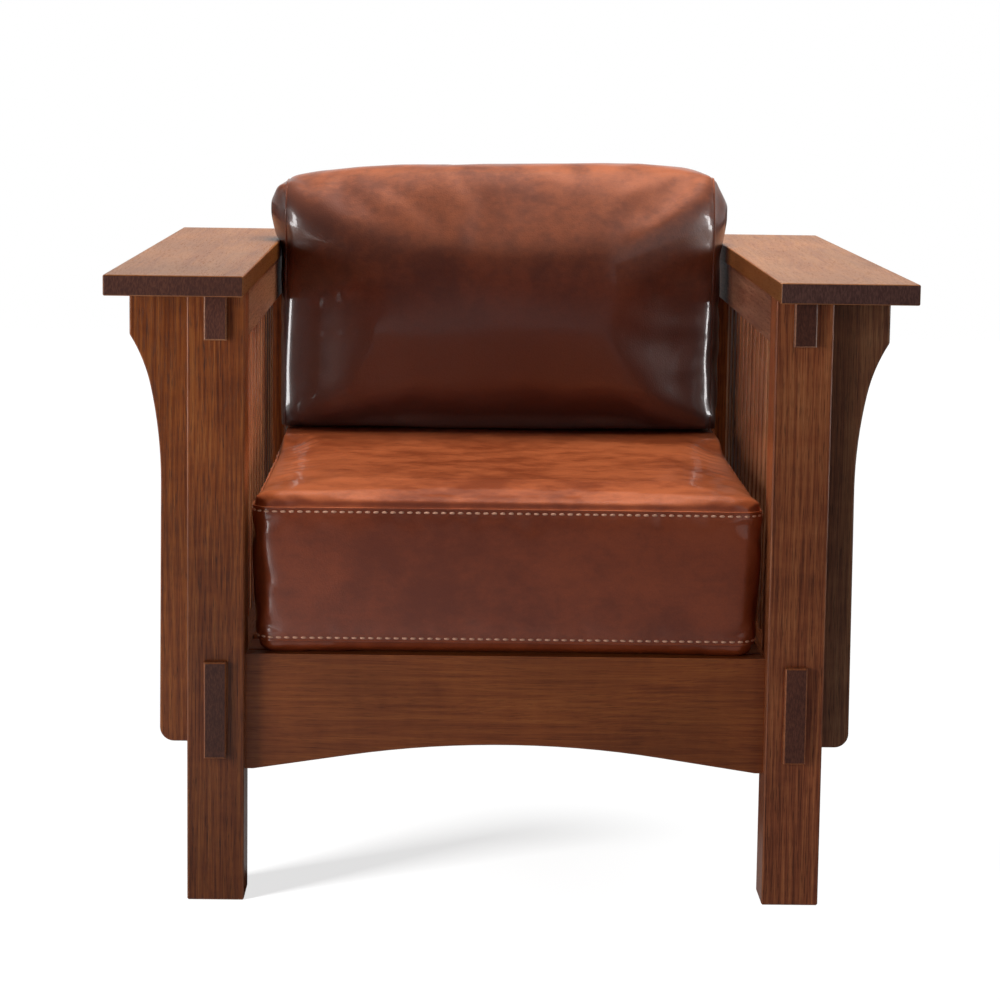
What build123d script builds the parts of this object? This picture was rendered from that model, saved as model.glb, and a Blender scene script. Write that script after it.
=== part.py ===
"""A reclining armchair in stained oak with two leather box cushions.

Millimetres, +Z up, +X to the sitter's left, the chair facing -Y. The origin lies on
the floor, midway between the arms' outer edges and midway along the arms.
"""
import os
from math import cos, pi, radians, sin, tan

from build123d import *

os.makedirs("parts", exist_ok=True)

# The arms and the whole chair
chair_width = 888.0
arm_length = 984.0
arm_height = 713.0
arm_width = 152.0
arm_thickness = 23.0
arm_ease = 2.0

# Posts, set in under the arms
post_size = 64.0
arm_overhang = 85.5
post_setback = 65.0
post_ease = 1.5
post_stub = 12.0
post_stub_inset = 12.0

# Side frames: two rails tenoned right through the posts, and upright spindles
side_rail_thickness = 45.0
top_rail_height = 52.0
bottom_rail_height = 110.0
bottom_rail_floor = 166.0
tenon_thickness = 25.0
tenon_proud = 10.0
tenon_bevel = 1.5
spindle_count = 14
spindle_width = 28.0
spindle_thickness = 16.0
spindle_housing = 12.0
spindle_ease = 1.0

# Corbels: the flared brackets under the arms
corbel_thickness = 21.0
corbel_setback = 24.0
corbel_floor = 178.5
corbel_head = 49.0
corbel_head_reach = 66.0
corbel_neck_reach = 31.3
corbel_foot_reach = 33.0
corbel_foot_round = 16.0
corbel_head_round = 6.0
corbel_sweep_radius = 515.0
corbel_sweep_turn = 12.0
corbel_cove_turn = 32.0
corbel_ease = 1.5

# Cross rails of the seat, the front one arched
cross_rail_thickness = 22.0
front_rail_setback = 21.0
front_rail_height = 133.0
front_arch_rise = 30.0
front_arch_slope = 8.7
front_arch_flat = 9.0
rear_rail_height = 80.0
rail_ease = 1.5
stub_tenon_thickness = 12.0
stub_tenon_length = 18.0
stub_tenon_shoulder = 12.0

# Seat deck: slats laid across two cleats, level with the front rail's top
deck_rise = 5.0
cleat_section = 25.0
slat_count = 7
slat_gap = 24.0
slat_thickness = 20.0
slat_end_gap = 2.0
deck_front_gap = 6.0
deck_rear_gap = 6.0
slat_ease = 1.5

# Back pivot: steel pins in blocks on the side rails
pivot_forward = 111.0
pivot_drop = 26.0
pivot_block_thickness = 22.0
pivot_block_width = 60.0
pivot_block_below = 50.0
pivot_block_above = 30.0
pivot_block_round = 20.0
pin_radius = 6.0
pin_reach = 28.0
pin_play = 0.05
bush_wall = 1.95
bush_end_gap = 0.5
washer_radius = 13.0
washer_thickness = 3.0
washer_play = 0.15

# Back frame, drawn upright from its pivot and then leaned
rest_lean = 8.0
recline_range = 20.0
stile_width = 38.0
stile_depth = 28.0
stile_height = 540.0
stile_tail = 20.0
stile_foot_round = 12.0
stile_ease = 1.5
back_rail_thickness = 22.0
back_rail_height = 74.0
back_bottom_rail_lift = 14.0
back_tenon_thickness = 10.0
back_tenon_length = 24.0
back_tenon_shoulder = 10.0
back_slat_count = 4
back_slat_height = 54.0
back_slat_thickness = 10.0
back_slat_bow = 8.0
back_slat_setback = 4.0
back_slat_housing = 10.0

# Slotted stays that hold the back at its angle, with a clamp knob on each stud
stay_radius = 250.0
stay_width = 26.0
stay_thickness = 3.0
stay_plate_width = 22.0
stay_plate_length = 74.0
stay_end_margin = 9.0
stay_corner = 6.0
stay_play = 0.3
stud_lean = 37.0
stud_radius = 4.0
stud_embed = 30.0
collar_radius = 10.0
slot_play = 0.3
slot_stop_gap = 0.5
knob_radius = 22.0
knob_thickness = 24.0
knob_neck_radius = 14.0
knob_neck_length = 7.0
knob_round = 4.0
knob_lobes = 6
knob_scallop_radius = 9.0
knob_scallop_depth = 3.0
knob_bore_play = 0.05
knob_bore_end = 5.0
knob_washer_radius = 12.0
knob_washer_thickness = 1.5
knob_washer_gap = 0.2

# Countersunk wood screws
screw_radius = 2.2
screw_head_radius = 4.4
screw_head_height = 3.0
cleat_screw_count = 4
cleat_screw_length = 42.0
cleat_screw_margin = 60.0
block_screw_length = 44.0
block_screw_spacing = 50.0
stay_screw_length = 22.0
stay_screw_spacing = 54.0
stay_screw_head_height = 2.6

# Seat cushion: a box cushion, flush with the front rail's face
soft_gap = 0.3
seat_side_gap = 6.0
seat_edge_height = 166.0
seat_crown = 23.0
seat_rear_gap = 4.0
seat_corner = 24.0
seat_draw_in = 3.0

# Back cushion: stuffed fullest at its upper third, wider above the arms
back_side_gap = 3.5
back_over_arm = 9.0
back_top = 813.0
back_base_depth = 124.0
back_bulge = 26.0
back_corner = 30.0
back_draw_in = 3.0

# Shares of a cushion's height at each of its levels, and what it loses or gains there
seat_level_shares = (0.0, 0.03, 0.10, 0.50, 0.86, 0.91, 0.95, 0.98, 1.0)
seat_inset_shares = (0.60, 0.20, 0.0, 0.0, 0.0, 0.225, 0.8, 2.25, 4.5)
back_level_shares = (0.0, 0.03, 0.10, 0.35, 0.62, 0.76, 0.86, 0.93, 0.975, 1.0)
back_inset_shares = (0.95, 0.40, 0.0, 0.0, 0.0, 0.0, 0.0, 0.35, 0.95, 1.9)
back_bulge_shares = (0.0, 0.10, 0.35, 0.85, 1.0, 0.95, 0.80, 0.55, 0.25, 0.0)
back_widen_shares = (0.0, 0.0, 0.0, 0.0, 0.0, 0.0, 0.4, 1.0, 0.3, -1.0)

# Places that follow from the sizes above
arm_outer = chair_width / 2
arm_inner = arm_outer - arm_width
arm_underside = arm_height - arm_thickness
front_edge = -arm_length / 2
rear_edge = arm_length / 2
post_outer = arm_outer - arm_overhang
post_inner = post_outer - post_size
post_middle = (post_inner + post_outer) / 2
front_post_face = front_edge + post_setback
front_post_back = front_post_face + post_size
rear_post_back = rear_edge - post_setback
rear_post_face = rear_post_back - post_size
bottom_rail_top = bottom_rail_floor + bottom_rail_height
top_rail_floor = arm_underside - top_rail_height
deck_height = bottom_rail_top + deck_rise
front_rail_floor = deck_height - front_rail_height
front_rail_face = front_post_face + front_rail_setback
front_rail_back = front_rail_face + cross_rail_thickness
rear_rail_middle = (rear_post_face + rear_post_back) / 2
pivot_y = rear_post_face - pivot_forward
pivot_height = bottom_rail_top - pivot_drop
block_inner = post_inner - pivot_block_thickness
washer_gap = washer_thickness + 2 * washer_play
stile_outer = block_inner - washer_gap
stile_inner = stile_outer - stile_width
bush_radius = pin_radius + pin_play + bush_wall
deck_rear = pivot_y - pivot_block_width / 2 - deck_rear_gap
cleat_top = deck_height - slat_thickness
cleat_inner = post_inner - cleat_section
stud_y = pivot_y + stay_radius * sin(radians(stud_lean))
stud_z = pivot_height + stay_radius * cos(radians(stud_lean))
stay_outer = stile_outer + stay_thickness
knob_face = stile_outer - knob_washer_thickness - 2 * knob_washer_gap
seat_floor = deck_height + soft_gap
seat_top = seat_floor + seat_edge_height + seat_crown
back_floor = seat_top + soft_gap


def block(x_span, y_span, z_span):
    """A squared board between three pairs of limits."""
    spans = (x_span, y_span, z_span)
    middle = [(low + high) / 2 for low, high in spans]
    return Pos(*middle) * Box(*[high - low for low, high in spans])


def eased(board, radius, *axes):
    """Take the sharpness off a board's edges, or only off those along some axes."""
    edges = board.edges()
    if axes:
        edges = ShapeList([edge for axis in axes for edge in edges.filter_by(axis)])
    return chamfer(edges, radius)


def across(radius, x_span, y, z):
    """A round bar lying along X."""
    low, high = x_span
    return Pos((low + high) / 2, y, z) * Rot(0, 90, 0) * Cylinder(radius, high - low)


def left_of(shape):
    """The same piece on the other side of the chair."""
    return mirror(shape, about=Plane.YZ)


def screw(length, head_height=screw_head_height):
    """A countersunk screw, its head's face at the origin and its point down -Z."""
    head = Pos(0, 0, -head_height / 2) * Cone(screw_radius, screw_head_radius, head_height)
    return head + Pos(0, 0, -length / 2) * Cylinder(screw_radius, length)


def driven(length, x, y, z, head_height=screw_head_height):
    """A screw driven outwards along +X, its head's face at x."""
    return Pos(x, y, z) * Rot(0, -90, 0) * screw(length, head_height)


def save(name, shape):
    """Write one sub-part, a single solid or a group of separate ones."""
    export_step(shape, f"parts/{name}.step")


# Arms, posts and side frames

def make_arm():
    board = block((arm_inner, arm_outer), (front_edge, rear_edge), (arm_underside, arm_height))
    return fillet(board.edges(), arm_ease)


def make_post(face):
    """A square post with a stub on top that is let into the arm's underside."""
    back = face + post_size
    leg = block((post_inner, post_outer), (face, back), (0, arm_underside))
    edges = leg.edges().filter_by(Axis.Z) + leg.faces().sort_by(Axis.Z)[0].edges()
    leg = chamfer(edges, post_ease)
    inset = post_stub_inset
    return leg + block(
        (post_inner + inset, post_outer - inset),
        (face + inset, back - inset),
        (arm_underside, arm_underside + post_stub),
    )


def make_side_rail(floor, top):
    """A rail between the posts, flush inside, whose tenons come out through them."""
    x_span = (post_inner, post_inner + side_rail_thickness)
    rail = block(x_span, (front_post_back, rear_post_face), (floor, top))
    tenon = block(
        (post_middle - tenon_thickness / 2, post_middle + tenon_thickness / 2),
        (front_post_face - tenon_proud, rear_post_back + tenon_proud),
        (floor, top),
    )
    ends = tenon.faces().sort_by(Axis.Y)
    tenon = chamfer(ends[0].edges() + ends[-1].edges(), tenon_bevel)
    return rail + tenon


def make_spindles():
    """The upright spindles of one side, evenly spaced, housed in both rails."""
    middle = post_inner + side_rail_thickness / 2
    clear = rear_post_face - front_post_back
    gap = (clear - spindle_count * spindle_width) / (spindle_count + 1)
    z_span = (bottom_rail_top - spindle_housing, top_rail_floor + spindle_housing)
    spindles = []
    for number in range(spindle_count):
        y = front_post_back + gap + number * (spindle_width + gap)
        x_span = (middle - spindle_thickness / 2, middle + spindle_thickness / 2)
        spindles.append(eased(block(x_span, (y, y + spindle_width), z_span), spindle_ease, Axis.Z))
    return spindles


def make_corbel(face):
    """A flared bracket whose outline is two tangent arcs between straight runs."""
    sweep, cove = radians(corbel_sweep_turn), radians(corbel_cove_turn)
    head_x, neck_x = post_outer + corbel_head_reach, post_outer + corbel_neck_reach
    foot_x = post_outer + corbel_foot_reach
    sweep_out = corbel_sweep_radius * (1 - cos(sweep))
    cove_radius = (head_x - neck_x - sweep_out) / (cos(sweep) - cos(cove))
    shoulder_z = arm_underside - corbel_head
    sweep_z = shoulder_z - cove_radius * (sin(cove) - sin(sweep))
    neck_z = sweep_z - corbel_sweep_radius * sin(sweep)

    def on_sweep(angle):
        return neck_x + corbel_sweep_radius * (1 - cos(angle)), neck_z + corbel_sweep_radius * sin(angle)

    def on_cove(angle):
        x = neck_x + sweep_out + cove_radius * (cos(sweep) - cos(angle))
        return x, sweep_z + cove_radius * (sin(angle) - sin(sweep))

    outline = [
        Line((post_outer, corbel_floor), (foot_x, corbel_floor)),
        Line((foot_x, corbel_floor), (neck_x, neck_z)),
        ThreePointArc(on_sweep(0), on_sweep(sweep / 2), on_sweep(sweep)),
        ThreePointArc(on_cove(sweep), on_cove((sweep + cove) / 2), on_cove(cove)),
        Line((head_x, shoulder_z), (head_x, arm_underside)),
        Line((head_x, arm_underside), (post_outer, arm_underside)),
        Line((post_outer, arm_underside), (post_outer, corbel_floor)),
    ]
    bracket = extrude(Plane.XZ * make_face(Wire(outline)), -corbel_thickness)
    bracket = Pos(0, face, 0) * bracket
    corners = bracket.edges().filter_by(Axis.Y)
    bracket = fillet(corners.sort_by_distance((foot_x, face, corbel_floor))[0], corbel_foot_round)
    corners = bracket.edges().filter_by(Axis.Y)
    bracket = fillet(corners.sort_by_distance((head_x, face, shoulder_z))[0], corbel_head_round)
    rims = [edge for edge in bracket.edges() if edge.center().X > post_outer + corbel_ease]
    rims = [edge for edge in rims if edge.center().Z < arm_underside - corbel_ease]
    return chamfer([edge for edge in rims if edge not in bracket.edges().filter_by(Axis.Y)], corbel_ease)


# Seat frame

def make_front_rail():
    """The arched rail: a wide arc between two straight slopes, with a flat at each end."""
    slope = radians(front_arch_slope)
    reach = post_inner - front_arch_flat
    arc_radius = (reach * tan(slope) - front_arch_rise) / (1 / cos(slope) - 1)
    crown_z = front_rail_floor + front_arch_rise
    arc_x = arc_radius * sin(slope)
    arc_z = crown_z - arc_radius * (1 - cos(slope))
    outline = [
        Line((-post_inner, deck_height), (-post_inner, front_rail_floor)),
        Line((-post_inner, front_rail_floor), (-reach, front_rail_floor)),
        Line((-reach, front_rail_floor), (-arc_x, arc_z)),
        ThreePointArc((-arc_x, arc_z), (0, crown_z), (arc_x, arc_z)),
        Line((arc_x, arc_z), (reach, front_rail_floor)),
        Line((reach, front_rail_floor), (post_inner, front_rail_floor)),
        Line((post_inner, front_rail_floor), (post_inner, deck_height)),
        Line((post_inner, deck_height), (-post_inner, deck_height)),
    ]
    board = extrude(Plane.XZ * make_face(Wire(outline)), -cross_rail_thickness)
    board = Pos(0, front_rail_face, 0) * board
    rims = board.faces().sort_by(Axis.Y)[0].edges()
    rims = [edge for edge in rims if edge.center().Z < deck_height - rail_ease]
    rims = [edge for edge in rims if abs(edge.center().X) < post_inner - rail_ease]
    board = chamfer(rims, rail_ease)
    y = (front_rail_face + front_rail_back) / 2
    return board + stub_tenon(y, front_rail_floor + front_arch_rise, deck_height)


def stub_tenon(y, floor, top):
    """The blind tenons at both ends of a cross rail, as one bar through it."""
    reach = post_inner + stub_tenon_length
    return block(
        (-reach, reach),
        (y - stub_tenon_thickness / 2, y + stub_tenon_thickness / 2),
        (floor + stub_tenon_shoulder, top - stub_tenon_shoulder),
    )


def make_rear_rail():
    floor, half = bottom_rail_top - rear_rail_height, cross_rail_thickness / 2
    y_span = (rear_rail_middle - half, rear_rail_middle + half)
    board = block((-post_inner, post_inner), y_span, (floor, bottom_rail_top))
    board = eased(board, rail_ease, Axis.X)
    return board + stub_tenon(rear_rail_middle, floor, bottom_rail_top)


def make_slats():
    """The deck's slats, evenly spaced from the front rail to the back's pivot."""
    start, stop = front_rail_back + deck_front_gap, deck_rear
    slat_width = (stop - start - (slat_count - 1) * slat_gap) / slat_count
    pitch = slat_width + slat_gap
    reach = post_inner - slat_end_gap
    slats = []
    for number in range(slat_count):
        y = start + number * pitch
        slat = block((-reach, reach), (y, y + slat_width), (cleat_top, deck_height))
        slats.append(eased(slat, slat_ease, Axis.X))
    return slats


def make_cleat():
    z_span = (cleat_top - cleat_section, cleat_top)
    return block((cleat_inner, post_inner), (front_rail_back, deck_rear), z_span)


def make_cleat_screws():
    """The screws of one cleat, spaced along it between its two end margins."""
    start, stop = front_rail_back + cleat_screw_margin, deck_rear - cleat_screw_margin
    pitch = (stop - start) / (cleat_screw_count - 1)
    z = cleat_top - cleat_section / 2
    places = [start + number * pitch for number in range(cleat_screw_count)]
    return [driven(cleat_screw_length, cleat_inner, y, z) for y in places]


# Back pivot

def make_pivot_block():
    y_span = (pivot_y - pivot_block_width / 2, pivot_y + pivot_block_width / 2)
    z_span = (pivot_height - pivot_block_below, pivot_height + pivot_block_above)
    body = block((block_inner, post_inner), y_span, z_span)
    top_corners = body.edges().filter_by(Axis.X).sort_by(Axis.Z)[-2:]
    return fillet(top_corners, pivot_block_round)


def make_block_screws():
    z = pivot_height - pivot_block_below / 2
    places = [pivot_y - block_screw_spacing / 2, pivot_y + block_screw_spacing / 2]
    return [driven(block_screw_length, block_inner, y, z) for y in places]


def make_pin():
    return across(pin_radius, (stile_outer - pin_reach, post_inner), pivot_y, pivot_height)


def make_bush():
    x_span = (stile_outer - pin_reach - bush_end_gap, stile_outer)
    return make_bush_seat() - across(pin_radius + pin_play, x_span, pivot_y, pivot_height)


def make_bush_seat():
    """The blind hole in the stile that takes the bush."""
    return across(bush_radius, (stile_outer - pin_reach - bush_end_gap, stile_outer), pivot_y, pivot_height)


def make_washer():
    x_span = (stile_outer + washer_play, stile_outer + washer_play + washer_thickness)
    ring = across(washer_radius, x_span, pivot_y, pivot_height)
    return ring - across(pin_radius, x_span, pivot_y, pivot_height)


# Back frame, drawn upright about its pivot: Y is rearward and Z up the back

def leaned(shape):
    """Set a piece drawn about the pivot at its place on the leaning back."""
    return Pos(0, pivot_y, pivot_height) * Rot(-rest_lean, 0, 0) * shape


def make_stile():
    z_span = (-stile_tail, stile_height)
    stile = block((stile_inner, stile_outer), (-stile_depth / 2, stile_depth / 2), z_span)
    foot = stile.edges().filter_by(Axis.X).sort_by(Axis.Z)[:2]
    stile = fillet(foot, stile_foot_round)
    top = stile.faces().sort_by(Axis.Z)[-1].edges()
    return chamfer(top + stile.edges().filter_by(Axis.Z), stile_ease)


def make_back_rail(floor):
    """A cross rail of the back with a blind tenon at each end."""
    half = back_rail_thickness / 2
    rail = block((-stile_inner, stile_inner), (-half, half), (floor, floor + back_rail_height))
    rail = eased(rail, stile_ease, Axis.X)
    reach = stile_inner + back_tenon_length
    half = back_tenon_thickness / 2
    z_span = (floor + back_tenon_shoulder, floor + back_rail_height - back_tenon_shoulder)
    return rail + block((-reach, reach), (-half, half), z_span)


def make_back_slats(floor, ceiling):
    """Bowed slats between the two rails, their ends housed in the stiles."""
    reach = stile_inner + back_slat_housing
    front = -stile_depth / 2 + back_slat_setback
    back = front + back_slat_thickness
    outline = [
        ThreePointArc((-reach, front), (0, front + back_slat_bow), (reach, front)),
        Line((reach, front), (reach, back)),
        ThreePointArc((reach, back), (0, back + back_slat_bow), (-reach, back)),
        Line((-reach, back), (-reach, front)),
    ]
    slat = extrude(make_face(Wire(outline)), back_slat_height)
    gap = (ceiling - floor - back_slat_count * back_slat_height) / (back_slat_count + 1)
    places = [floor + gap + number * (back_slat_height + gap) for number in range(back_slat_count)]
    return [Pos(0, 0, z) * slat for z in places]


# Stays and clamp knobs

def sector(inner, outer, first, last):
    """A stretch of ring about the pivot, between two angles behind the stile."""
    middle = (first + last) / 2

    def at(radius, angle):
        return radius * sin(radians(angle)), radius * cos(radians(angle))

    outline = [
        ThreePointArc(at(inner, first), at(inner, middle), at(inner, last)),
        Line(at(inner, last), at(outer, last)),
        ThreePointArc(at(outer, last), at(outer, middle), at(outer, first)),
        Line(at(outer, first), at(inner, first)),
    ]
    return make_face(Wire(outline))


def make_stay():
    """A brass stay: a plate on the stile and a slotted arc centred on the pivot."""
    last = stud_lean - rest_lean
    first = last - recline_range
    stop = slot_stop_gap / stay_radius
    slot_half = stud_radius + slot_play
    inner, outer = stay_radius - stay_width / 2, stay_radius + stay_width / 2
    margin = (slot_half + stay_end_margin) / stay_radius
    strap = sector(inner, outer, 0, last + margin * 180 / pi)
    strap = fillet(strap.vertices().sort_by(Axis.X)[-2:], stay_corner)
    plate = Pos(0, stay_radius) * RectangleRounded(stay_plate_width, stay_plate_length, stay_corner)
    first, last = first - stop * 180 / pi, last + stop * 180 / pi
    slot = sector(stay_radius - slot_half, stay_radius + slot_half, first, last)
    for angle in (first, last):
        place = Pos(stay_radius * sin(radians(angle)), stay_radius * cos(radians(angle)))
        slot += place * Circle(slot_half)
    side_view = Plane(origin=(stile_outer, 0, 0), x_dir=(0, 1, 0), z_dir=(1, 0, 0))
    return extrude(side_view * (strap + plate - slot), stay_thickness)


def make_stay_screws():
    x = stile_outer + stay_thickness
    places = [stay_radius - stay_screw_spacing / 2, stay_radius + stay_screw_spacing / 2]
    return [Pos(x, 0, z) * Rot(0, 90, 0) * screw(stay_screw_length, stay_screw_head_height) for z in places]


def make_stud():
    """A stud in the rear post, with the collar that the stay bears on."""
    collar = across(collar_radius, (stay_outer + stay_play, post_inner), stud_y, stud_z)
    tip = knob_face - knob_thickness + knob_bore_end
    rod = across(stud_radius, (tip, post_inner + stud_embed), stud_y, stud_z)
    return collar + rod


def make_knob_washer():
    x_span = (knob_face + knob_washer_gap, knob_face + knob_washer_gap + knob_washer_thickness)
    ring = across(knob_washer_radius, x_span, stud_y, stud_z)
    return ring - across(stud_radius, x_span, stud_y, stud_z)


def make_knob():
    """A turned knob with a scalloped rim on a narrower neck, bored from its neck."""
    profile = Polyline(
        (0, 0),
        (knob_neck_radius, 0),
        (knob_neck_radius, knob_neck_length),
        (knob_radius, knob_neck_length + knob_round),
        (knob_radius, knob_thickness),
        (0, knob_thickness),
        close=True,
    )
    knob = revolve(Plane.XZ * make_face(profile), Axis.Z)
    reach = knob_radius + knob_scallop_radius - knob_scallop_depth
    scallop = Pos(0, 0, knob_thickness / 2) * Cylinder(knob_scallop_radius, knob_thickness)
    for turn in range(knob_lobes):
        knob -= Rot(0, 0, turn * 360 / knob_lobes) * Pos(reach, 0, knob_neck_length / 2) * scallop
    knob = fillet(knob.faces().sort_by(Axis.Z)[-1].edges(), knob_round / 2)
    bore = knob_thickness - knob_bore_end + knob_bore_play
    knob -= Pos(0, 0, bore / 2) * Cylinder(stud_radius + knob_bore_play, bore)
    return Pos(knob_face, stud_y, stud_z) * Rot(0, -90, 0) * knob


# Cushions

def cushion_level(half_width, y_front, y_rear, z, corner, draw_in):
    """One level of a cushion: sides drawn in between four rounded corners."""
    inner_x, drawn_x = half_width - corner, half_width - draw_in
    low, high = y_front + corner, y_rear - corner
    turn = corner * (1 - cos(pi / 4))
    bend_x = half_width - turn
    outline = []
    for side in (1, -1):
        start, middle, end = side * half_width, side * drawn_x, side * inner_x
        outline.append(ThreePointArc((start, low, z), (middle, (low + high) / 2, z), (start, high, z)))
        for y_turn, y_bend, y_end in ((high, y_rear - turn, y_rear), (low, y_front + turn, y_front)):
            bend = (side * bend_x, y_bend, z)
            outline.append(ThreePointArc((start, y_turn, z), bend, (end, y_end, z)))
    outline.append(Line((-inner_x, y_rear, z), (inner_x, y_rear, z)))
    outline.append(ThreePointArc((-inner_x, y_front, z), (0, y_front + draw_in, z), (inner_x, y_front, z)))
    return make_face(Wire(outline))


def make_seat_cushion():
    """A box cushion: rounded lower edge, upright boxing and a low crown."""
    half_width = post_inner - seat_side_gap
    rear = frame_front(seat_floor) - seat_rear_gap
    levels = []
    for share, inset_share in zip(seat_level_shares, seat_inset_shares):
        inset = seat_corner * inset_share
        z = seat_floor + share * (seat_top - seat_floor)
        front = front_rail_face + inset
        levels.append(cushion_level(half_width - inset, front, rear - inset, z, seat_corner, seat_draw_in))
    return loft(levels, ruled=True)


def frame_front(z):
    """How far back the front of the back frame lies at a height, at rest."""
    lean = radians(rest_lean)
    return pivot_y + (z - pivot_height) * tan(lean) - stile_depth / 2 / cos(lean)


def make_back_cushion():
    """A stuffed cushion whose back follows the leaning frame."""
    levels = []
    shares = zip(back_level_shares, back_inset_shares, back_bulge_shares, back_widen_shares)
    for share, inset_share, bulge_share, widen_share in shares:
        z = back_floor + share * (back_top - back_floor)
        inset = back_corner * inset_share
        rear = frame_front(z) - soft_gap
        front = frame_front(back_floor) - back_base_depth - bulge_share * back_bulge
        front, rear = front + inset, rear - inset / 2
        half_width = arm_inner - back_side_gap + widen_share * back_over_arm - inset
        levels.append(cushion_level(half_width, front, rear, z, back_corner, back_draw_in))
    return loft(levels, ruled=True)


# Make each piece, then let each joint into what receives it

def cut(piece, tools):
    """Take the shapes of tenons, pins or screws out of a piece."""
    for tool in tools:
        piece -= tool
    return piece


arm = make_arm()
front_post, rear_post = make_post(front_post_face), make_post(rear_post_face)
top_rail = make_side_rail(top_rail_floor, arm_underside)
bottom_rail = make_side_rail(bottom_rail_floor, bottom_rail_top)
spindles = make_spindles()
front_corbel = make_corbel(front_post_face + corbel_setback)
rear_corbel = make_corbel(rear_post_back - corbel_setback - corbel_thickness)
front_rail, rear_rail = make_front_rail(), make_rear_rail()
cleat, cleat_screws = make_cleat(), make_cleat_screws()
pivot_block, block_screws = make_pivot_block(), make_block_screws()
pin, bush, washer = make_pin(), make_bush(), make_washer()
bottom_back_rail = leaned(make_back_rail(back_bottom_rail_lift))
top_back_rail = leaned(make_back_rail(stile_height - back_rail_height))
back_slats = make_back_slats(back_bottom_rail_lift + back_rail_height, stile_height - back_rail_height)
back_slats = [leaned(slat) for slat in back_slats]
stay_screws = [leaned(piece) for piece in make_stay_screws()]
stud = make_stud()

arm = cut(arm, [front_post, rear_post])
front_post = cut(front_post, [top_rail, bottom_rail, front_rail])
rear_post = cut(rear_post, [top_rail, bottom_rail, rear_rail, stud])
bottom_rail = cut(bottom_rail, spindles + cleat_screws + block_screws)
top_rail = cut(top_rail, spindles)
cleat = cut(cleat, cleat_screws)
pivot_block = cut(pivot_block, block_screws + [pin])
let_into_stile = [make_bush_seat(), bottom_back_rail, top_back_rail, *back_slats, *stay_screws]
stile = cut(leaned(make_stile()), let_into_stile)
stay = cut(leaned(make_stay()), stay_screws)

pairs = {
    "arm": arm,
    "front_post": front_post,
    "rear_post": rear_post,
    "side_top_rail": top_rail,
    "side_bottom_rail": bottom_rail,
    "side_spindles": Compound(spindles),
    "front_corbel": front_corbel,
    "rear_corbel": rear_corbel,
    "seat_cleat": cleat,
    "cleat_screws": Compound(cleat_screws),
    "pivot_block": pivot_block,
    "block_screws": Compound(block_screws),
    "pivot_pin": pin,
    "pivot_washer": washer,
    "pivot_bush": bush,
    "back_stile": stile,
    "recline_stay": stay,
    "stay_screws": Compound(stay_screws),
    "stay_stud": stud,
    "knob_washer": make_knob_washer(),
    "clamp_knob": make_knob(),
}
for name, piece in pairs.items():
    save(f"{name}_left", piece)
    save(f"{name}_right", left_of(piece))
save("front_rail", front_rail)
save("rear_rail", rear_rail)
for number, slat in enumerate(make_slats(), start=1):
    save(f"seat_slat_{number}", slat)
save("back_bottom_rail", bottom_back_rail)
save("back_top_rail", top_back_rail)
save("back_slats", Compound(back_slats))
save("seat_cushion", make_seat_cushion())
save("back_cushion", make_back_cushion())
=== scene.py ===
import math
from typing import NamedTuple

import bmesh
import bpy
import numpy as np
from mathutils import Matrix, Vector, noise
from mathutils.bvhtree import BVHTree


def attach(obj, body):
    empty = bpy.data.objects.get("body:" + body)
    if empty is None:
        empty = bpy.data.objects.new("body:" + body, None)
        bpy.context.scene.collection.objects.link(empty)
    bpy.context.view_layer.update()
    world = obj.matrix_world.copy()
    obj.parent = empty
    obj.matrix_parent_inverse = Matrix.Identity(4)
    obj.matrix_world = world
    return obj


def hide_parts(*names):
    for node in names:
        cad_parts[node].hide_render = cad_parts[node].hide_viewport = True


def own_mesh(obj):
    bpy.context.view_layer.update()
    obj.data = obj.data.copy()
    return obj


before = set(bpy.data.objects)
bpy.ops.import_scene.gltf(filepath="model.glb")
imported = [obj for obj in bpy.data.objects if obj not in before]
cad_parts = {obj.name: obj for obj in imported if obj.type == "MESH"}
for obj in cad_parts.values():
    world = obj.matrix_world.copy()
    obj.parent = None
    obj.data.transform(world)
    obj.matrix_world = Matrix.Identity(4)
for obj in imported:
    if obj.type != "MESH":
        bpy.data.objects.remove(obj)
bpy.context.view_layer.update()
bpy.ops.object.select_all(action="DESELECT")
scene = bpy.context.scene

# Where the photograph was taken from, in metres and degrees
CAMERA_PLACE = (-0.0608, -3.8101, 0.9413)
CAMERA_YAW, CAMERA_PITCH, CAMERA_ROLL = 0.87, 8.055, 0.785
CAMERA_LENS, CAMERA_FILM = 110.19, 36.0

# The chair's own places that the cushions are set out from, in metres
PIVOT_Y, PIVOT_Z = 0.252, 0.250
BACK_LEAN = math.radians(8.0)
STILE_FRONT = 0.0144
ARM_TOP = 0.713

SIDES = ("left", "right")
BRASS_PARTS = ("pivot_washer", "knob_washer", "pivot_bush", "recline_stay")
STEEL_PARTS = ("cleat_screws", "block_screws", "pivot_pin", "stay_stud", "stay_screws")

# Both cushions: fineness and looseness of their skins, how long the stuffing takes, and what
# tells a block's long edges and its outermost ones
CASE_VOXEL = 0.006
CASE_LOOSENESS, STUFFING_FRAMES = -0.02, 20
LONG_EDGE, EDGE_PLAY = 0.1, 0.001

# Seat cushion
SEAT_FLOOR, SEAT_CREST, SEAT_CASE_TOP = 0.2813, 0.4702, 0.4610
SEAT_FRONT, SEAT_REAR, SEAT_CORNER = -0.4035, 0.2365, 0.022
SEAT_CASE_HALF, SEAT_FOOT_HALF, SEAT_SPREAD, SEAT_LIMIT = 0.2870, 0.2840, 0.0050, 0.2915
SEAT_UPPER_SEAM, SEAT_LOWER_SEAM = 0.4470, 0.2957
SEAT_DRAWN_IN, SEAT_DRAWN_FROM = 0.0020, 0.18
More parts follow.
